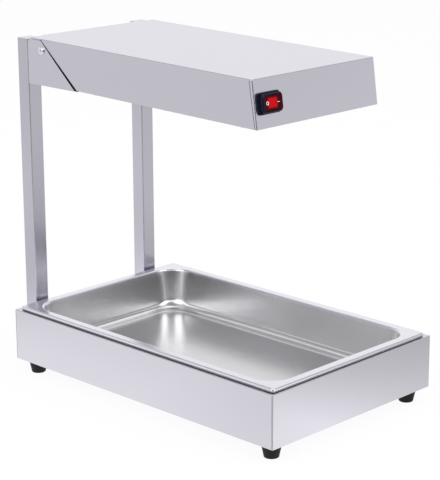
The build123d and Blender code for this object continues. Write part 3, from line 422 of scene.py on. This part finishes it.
def makePan():
    mesh = bmesh.new()
    corners = [Vector(corner) for corner in ((1, 1), (-1, 1), (-1, -1), (1, -1))]
    places = []  # round the pan: the corner or the point between two, and the way that it faces
    for i, corner in enumerate(corners):
        for step in range(pan["cornerSteps"] + 1):
            angle = math.pi / 2 * (i + step / pan["cornerSteps"])
            places.append((corner, Vector((math.cos(angle), math.sin(angle)))))
        following = corners[(i + 1) % 4]
        for step in range(1, pan["sideSteps"]):
            places.append((corner.lerp(following, step / pan["sideSteps"]), places[-1][1]))
    start = bmesh.ops.create_circle(mesh, segments=len(places), radius=1.0)
    around = dict(zip(start["verts"], places))
    loop = list(mesh.edges)

    def ring(halfWidth, halfLength, radius, height, bow=0.0):  # pulls the open edge to its next place
        nonlocal around, loop
        made = bmesh.ops.extrude_edge_only(mesh, edges=loop)["geom"]
        loop = [part for part in made if isinstance(part, bmesh.types.BMEdge)]
        pulled = {}
        for vert in (part for part in made if isinstance(part, bmesh.types.BMVert)):
            last = next(edge.other_vert(vert) for edge in vert.link_edges if edge.other_vert(vert) in around)
            corner, facing = around[last]
            pulled[vert] = around[last]
            out = radius + bow * (1 - corner.y ** 2)
            vert.co = (corner.x * (halfWidth - radius) + out * facing.x + pan["middle"][0],
                       corner.y * (halfLength - radius) + out * facing.y + pan["middle"][1], height)
        around = pulled

    # rim
    width, length, radius = pan["rim"]
    edge = pan["rimEdge"]
    top = pan["top"]
    hold = pan["hold"]
    ring(width, length, radius, pan["skirt"])
    bmesh.ops.delete(mesh, geom=start["verts"], context="VERTS")
    ring(width, length, radius, top - edge - hold)
    for turn in range(0, 91, pan["rimStep"]):
        angle = math.radians(turn)
        inset = edge * (1 - math.cos(angle))
        ring(width - inset, length - inset, radius - inset, top - edge + edge * math.sin(angle))
    ring(width - edge - hold, length - edge - hold, radius - edge, top)

    # lip, walls and the rounding into the floor
    mouthWidth, mouthLength, mouthRadius = pan["mouth"]
    spread = math.sqrt(2) - 1
    for step, (side, corner, down) in enumerate(panProfile()):
        radius = mouthRadius + (corner - math.sqrt(2) * side) / spread
        if step == 0:
            ring(mouthWidth - side + hold, mouthLength - side + hold, radius, top)
        ring(mouthWidth - side, mouthLength - side, radius, top - down, pan["bow"] * down / pan["depth"])

    # floor, with its recessed panel between two opposite bends
    width, length, radius = pan["panel"]
    floorZ = top - pan["depth"]
    turnR = pan["panelRound"]
    down = pan["panelDown"]
    steps = pan["panelSteps"]
    bend = math.acos(1 - down / 2 / turnR)
    half = turnR * math.sin(bend)
    ring(width + half + 2 * hold, length + half + 2 * hold, radius + half, floorZ)
    for step in range(steps + 1):
        angle = bend * step / steps
        out = half - turnR * math.sin(angle)
        ring(width + out, length + out, radius + out, floorZ - turnR * (1 - math.cos(angle)))
    for step in range(steps - 1, -1, -1):
        angle = bend * step / steps
        out = turnR * math.sin(angle) - half
        ring(width + out, length + out, radius + out, floorZ - down + turnR * (1 - math.cos(angle)))
    ring(width - half - 2 * hold, length - half - 2 * hold, radius - half, floorZ - down)
    bmesh.ops.contextual_create(mesh, geom=loop)
    bmesh.ops.recalc_face_normals(mesh, faces=mesh.faces)
    if sum(face.normal.z * face.calc_area() for face in mesh.faces) < 0:
        bmesh.ops.reverse_faces(mesh, faces=mesh.faces)
    for face in mesh.faces:
        face.smooth = True
    piece = addPiece("pressedPan", mesh, evenMaterials["drawnStainless"])
    wall = piece.modifiers.new("sheet", "SOLIDIFY")
    wall.thickness = pan["sheet"]
    wall.offset = -1.0
    wall.use_even_offset = True
    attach(piece, "pan")
    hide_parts("food_pan")


makePan()
print("pan pressed")


studio = {
    "floorSize": 9.0,
    "floorDrop": 0.2 * mm,  # under the feet
    "paper": "#f4f4f4",
    "white": "#ffffff",
    "seenWhite": 0.93,  # share of the floor's look that stays white, the rest takes the shadow
    "ambient": 0.8,
    "ambientTone": "#fbfcff",
    "away": (0.715, 0.699, 0.0),  # level direction from the camera to the object
    "axis": (0.638, 0.770, 0.0),  # from the dark end of the room to its white end
    # what metal mirrors, by the direction along that axis, from behind the camera round to the white
    # sweep behind the object: the walls' foot, the room at eye level with a window at its sides, the
    # upper walls with a skylight straight behind the camera, and the ceiling
    "foot": ((0.0, 0.03), (0.24, 0.05), (0.40, 1.0), (1.0, 1.0)),
    "footReach": (-0.05, 0.06),  # height of the direction, from the walls' foot to eye level
    "room": ((0.0, 0.04), (0.10, 0.06), (0.20, 1.2), (0.28, 1.1), (0.38, 0.68), (0.46, 0.58), (0.57, 0.98),
             (0.75, 1.05), (1.0, 1.08)),
    "high": ((0.0, 1.7), (0.08, 1.7), (0.12, 0.66), (0.20, 0.66), (0.28, 0.70), (0.38, 0.36), (0.46, 0.30),
             (0.57, 0.36), (0.75, 0.62), (0.92, 1.0), (1.0, 1.0)),
    "highReach": (0.34, 0.43),
    "top": ((0.0, 0.55), (0.3, 0.60), (0.5, 0.66), (1.0, 0.72)),
    "topReach": (0.60, 0.72),
    "poolReach": (-1.6, 1.4),  # painted pool of light: how bright metal mirrors the paper, along X
    "paintedLightPool": ((0.0, 0.84), (0.367, 1.01), (0.483, 1.25), (0.528, 1.34), (0.587, 0.98), (0.62, 0.87),
             (0.66, 0.77), (0.685, 0.74), (0.705, 0.80), (0.75, 0.87), (0.833, 1.04), (1.0, 1.0)),
    "depthReach": (-0.7, 1.5),  # painted light, along Y
    "depth": ((0.0, 0.82), (0.08, 0.82), (0.12, 0.91), (0.165, 1.0), (0.2, 0.94), (0.28, 0.95), (0.34, 1.0),
              (0.5, 1.0), (0.61, 0.82), (0.72, 0.88), (0.83, 1.01), (1.0, 1.0)),
    # painted shade: from the base's near corner towards the camera, metal mirrors the paper darker
    "paperEnd": (-172.5 * mm, -285.0 * mm, 0.0),
    "shade": 0.22,
    "paintedShadeSpread": (0.80, 0.97),
    "lampAim": (0.0, 0.0, 0.3),
}
softboxes = {
    "leftBox": {"place": (-2.57, -0.25, 1.87), "size": 2.2, "power": 30.0},
    "rightBox": {"place": (0.25, -2.45, 2.05), "size": 2.2, "power": 30.0},
    "topBox": {"place": (0.6, 0.9, 3.0), "size": 2.6, "power": 18.0},
    "sideBox": {"place": (2.35, -0.30, 2.95), "size": 1.2, "power": 3.0},
}


def setRamp(node, stops):
    ramp = node.color_ramp
    while len(ramp.elements) < len(stops):
        ramp.elements.new(0.5)
    for element, (place, grey) in zip(ramp.elements, stops):
        element.position = place
        element.color = (grey, grey, grey, 1.0)


def seenDirectly(tree, path):  # 1 for what the camera, a reflection or glass shows
    seen = addNode(tree, "ShaderNodeMath", None,
                   {0: path.outputs["Is Camera Ray"], 1: path.outputs["Is Glossy Ray"]}, operation="ADD")
    return addNode(tree, "ShaderNodeMath", None,
                   {0: seen.outputs[0], 1: path.outputs["Is Transmission Ray"]}, operation="ADD",
                   use_clamp=True)


# matt white paper: it takes a faint shadow and goes over into the white background; in reflections it shows a
# painted pool of light and a wedge of painted shade
def floorPaper():
    material, tree = newMaterial("whitePaper")
    path = addNode(tree, "ShaderNodeLightPath")
    coords = addNode(tree, "ShaderNodeTexCoord")
    place = addNode(tree, "ShaderNodeSeparateXYZ", None, {0: coords.outputs["Object"]})
    # painted light for reflections: the paper's brightness in a mirror is a painted pool of light along X and
    # Y, times a wedge of painted shade
    strips = []
    for axis, reach, stops in (("X", "poolReach", "paintedLightPool"), ("Y", "depthReach", "depth")):
        low, high = studio[reach]
        along = addNode(tree, "ShaderNodeMapRange", {"From Min": low, "From Max": high},
                        {"Value": place.outputs[axis]})
        strip = addNode(tree, "ShaderNodeValToRGB", None, {0: along.outputs[0]})
        setRamp(strip, studio[stops])
        strips.append(strip.outputs["Color"])
    paintedLightPool = addNode(tree, "ShaderNodeMath", None, {0: strips[0], 1: strips[1]}, operation="MULTIPLY")
    reach = addNode(tree, "ShaderNodeVectorMath", {1: studio["paperEnd"]}, {0: coords.outputs["Object"]},
                    operation="SUBTRACT")
    reach = addNode(tree, "ShaderNodeVectorMath", None, {0: reach.outputs[0]}, operation="NORMALIZE")
    reach = addNode(tree, "ShaderNodeVectorMath", {1: [-part for part in studio["away"]]},
                    {0: reach.outputs[0]}, operation="DOT_PRODUCT")
    low, high = studio["paintedShadeSpread"]
    shade = addNode(tree, "ShaderNodeMapRange",
                    {"From Min": low, "From Max": high, "To Min": 1.0, "To Max": studio["shade"]},
                    {"Value": reach.outputs["Value"]}, interpolation_type="SMOOTHSTEP")
    paintedReflectionLevel = addNode(tree, "ShaderNodeMath", None, {0: paintedLightPool.outputs[0], 1: shade.outputs[0]},
                       operation="MULTIPLY")
    level = addNode(tree, "ShaderNodeMix", {"A": 1.0},
                    {"Factor": path.outputs["Is Glossy Ray"], "B": paintedReflectionLevel.outputs[0]})
    share = addNode(tree, "ShaderNodeMath", {1: studio["seenWhite"]},
                    {0: seenDirectly(tree, path).outputs[0]}, operation="MULTIPLY")
    matt = addNode(tree, "ShaderNodeBsdfDiffuse", {"Color": linear(studio["paper"])})
    white = addNode(tree, "ShaderNodeEmission", None, {"Strength": level.outputs["Result"]})
    both = addNode(tree, "ShaderNodeMixShader", None,
                   {0: share.outputs[0], 1: matt.outputs[0], 2: white.outputs[0]})
    addNode(tree, "ShaderNodeOutputMaterial", None, {"Surface": both.outputs[0]})
    return material


def makeFloor():
    mesh = bmesh.new()
    bmesh.ops.create_grid(mesh, x_segments=1, y_segments=1, size=studio["floorSize"] / 2)
    bmesh.ops.translate(mesh, verts=mesh.verts, vec=(0, 0, -studio["floorDrop"]))
    addPiece("floor", mesh, floorPaper())


def makeWorld():
    world = bpy.data.worlds.new("studio")
    bpy.context.scene.world = world
    world.use_nodes = True
    tree = world.node_tree
    tree.nodes.clear()
    path = addNode(tree, "ShaderNodeLightPath")
    coords = addNode(tree, "ShaderNodeTexCoord")
    facing = addNode(tree, "ShaderNodeVectorMath", {1: studio["axis"]}, {0: coords.outputs["Generated"]},
                     operation="DOT_PRODUCT")
    facing = addNode(tree, "ShaderNodeMapRange", {"From Min": -1.0, "From Max": 1.0},
                     {"Value": facing.outputs["Value"]})
    height = addNode(tree, "ShaderNodeSeparateXYZ", None, {0: coords.outputs["Generated"]})
    foot = addNode(tree, "ShaderNodeValToRGB", None, {0: facing.outputs[0]})
    setRamp(foot, studio["foot"])
    room = foot.outputs["Color"]
    for band, reach in (("room", "footReach"), ("high", "highReach"), ("top", "topReach")):
        low, high = studio[reach]
        rise = addNode(tree, "ShaderNodeMapRange", {"From Min": low, "From Max": high},
                       {"Value": height.outputs["Z"]})
        above = addNode(tree, "ShaderNodeValToRGB", None, {0: facing.outputs[0]})
        setRamp(above, studio[band])
        room = addNode(tree, "ShaderNodeMix", None,
                       {"Factor": rise.outputs[0], "A": room, "B": above.outputs["Color"]}).outputs["Result"]
    level = addNode(tree, "ShaderNodeMix", {"A": 1.0},
                    {"Factor": path.outputs["Is Glossy Ray"], "B": room})
    light = addNode(tree, "ShaderNodeBackground",
                    {"Color": linear(studio["ambientTone"]), "Strength": studio["ambient"]})
    white = addNode(tree, "ShaderNodeBackground", {"Color": linear(studio["white"])},
                    {"Strength": level.outputs["Result"]})
    both = addNode(tree, "ShaderNodeMixShader", None,
                   {0: seenDirectly(tree, path).outputs[0], 1: light.outputs[0], 2: white.outputs[0]})
    addNode(tree, "ShaderNodeOutputWorld", None, {"Surface": both.outputs[0]})


def addLamp(name, box):
    lamp = bpy.data.lights.new(name, "AREA")
    lamp.size = box["size"]
    lamp.energy = box["power"]
    obj = bpy.data.objects.new(name, lamp)
    bpy.context.scene.collection.objects.link(obj)
    obj.location = box["place"]
    aim = Vector(studio["lampAim"]) - Vector(box["place"])
    obj.rotation_euler = aim.to_track_quat("-Z", "Y").to_euler()


makeFloor()
makeWorld()
for name, box in softboxes.items():
    addLamp(name, box)
print("studio ready")


photoCamera = {
    "place": (-1.7429, -1.7223, 0.9116),
    "turn": (74.4355, 0.2162, -45.7100),  # degrees
    "focalPixels": 1690.9,
    "imageHeight": 480,
    "sensor": 36.0,
}


def makeCamera():
    camera = bpy.data.cameras.new("photoCamera")
    camera.sensor_fit = "VERTICAL"
    camera.sensor_height = photoCamera["sensor"]
    camera.lens = photoCamera["sensor"] * photoCamera["focalPixels"] / photoCamera["imageHeight"]
    obj = bpy.data.objects.new("photoCamera", camera)
    bpy.context.scene.collection.objects.link(obj)
    obj.location = photoCamera["place"]
    obj.rotation_euler = [math.radians(angle) for angle in photoCamera["turn"]]
    bpy.context.scene.camera = obj


makeCamera()
bpy.context.scene.view_settings.view_transform = "Standard"
